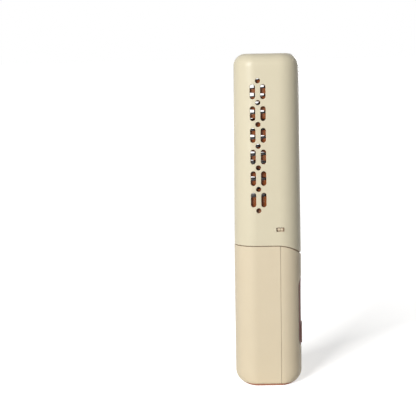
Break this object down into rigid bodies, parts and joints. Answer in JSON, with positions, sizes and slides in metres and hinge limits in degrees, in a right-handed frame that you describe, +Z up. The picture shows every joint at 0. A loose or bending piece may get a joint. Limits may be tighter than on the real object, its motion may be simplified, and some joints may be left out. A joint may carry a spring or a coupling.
{
  "type": "hot comb",
  "caption": "Cordless heated hair comb: slim upright handle with a panel and button in its round spine, heated comb head with plastic teeth, and a long vented push-on cap.",
  "frame": {"origin": "middle of the base, on the surface that the comb stands on", "axes": "+Z up along the handle towards the cap; +X towards the half-round spine with the panel and buttons, so the teeth point to -X; -Y is the front"},
  "size_m": [0.0406, 0.026, 0.2],
  "materials": {
    "body_plastic": "satin cream moulding",
    "cap_plastic": "satin cream moulding",
    "base_plastic": "satin terracotta moulding",
    "panel_plastic": "smooth dark brown moulding",
    "lens_plastic": "smoked clear moulding",
    "button_plastic": "satin red-brown moulding",
    "comb_coating": "black ceramic coating on cast aluminium",
    "aluminium": "plain",
    "ceramic": "fired barium titanate",
    "carrier_plastic": "heat-proof moulding",
    "insulation_film": "amber film",
    "board": "green lacquer",
    "chip": "moulded epoxy",
    "ferrite": "pressed ferrite",
    "led": "clear resin over phosphor",
    "light_guide": "milky clear moulding",
    "steel": "nickel plated",
    "brass": "spring alloy",
    "cell_sleeve": "shrink sleeve over a steel can",
    "paper": "insulating paper",
    "frame_plastic": "plain moulding",
    "tongue": "plain moulding",
    "sensor_glass": "glass bead",
    "fuse_sleeve": "woven glass sleeve",
    "red_wire": "silicone sleeve",
    "black_wire": "silicone sleeve",
    "white_wire": "silicone sleeve"
  },
  "bodies": {
    "handle": {"teeth_shell": "body_plastic", "spine_shell": "body_plastic", "base_plate": "base_plastic", "base_screws": "steel", "panel_bezel": "panel_plastic", "display_lens": "lens_plastic", "light_guide": "light_guide", "mode_switch": "chip", "power_switch": "chip", "main_board": "board", "controller_chip": "chip", "power_transistors": "chip", "inductor": "ferrite", "capacitors": "aluminium", "display_leds": "led", "charge_board": "board", "charge_chip": "chip", "usb_shell": "steel", "usb_tongue": "tongue", "battery_cell": "cell_sleeve", "battery_ring": "paper", "battery_tabs": "steel", "chassis": "frame_plastic", "chassis_screws": "steel", "heater_comb": "comb_coating", "insulation_sheets": "insulation_film", "ptc_plates": "ceramic", "electrode_plate": "aluminium", "pressure_spring": "brass", "heater_carrier": "carrier_plastic", "thermistor": "sensor_glass", "thermal_fuse": "fuse_sleeve", "heater_wires": "black_wire", "sensor_wires": "white_wire", "battery_wire_positive": "red_wire", "battery_wire_negative": "black_wire", "charge_wires": "red_wire"},
    "cap": {"cap": "cap_plastic"},
    "mode_button": {"mode_button": "button_plastic", "mode_plunger": "paper"},
    "power_button": {"power_button": "button_plastic", "power_plunger": "paper"}
  },
  "joints": [
    {"name": "cap_slide", "type": "slide", "parent": "handle", "child": "cap", "axis": [0, 0, 1], "range_m": [0, 0.126]},
    {"name": "mode_button_press", "type": "slide", "parent": "handle", "child": "mode_button", "axis": [-1, 0, 0], "range_m": [0, 0.00035], "stiffness_N_per_m": 800, "springref_m": -0.0002},
    {"name": "power_button_press", "type": "slide", "parent": "handle", "child": "power_button", "axis": [-1, 0, 0], "range_m": [0, 0.00035], "stiffness_N_per_m": 800, "springref_m": -0.0002}
  ]
}
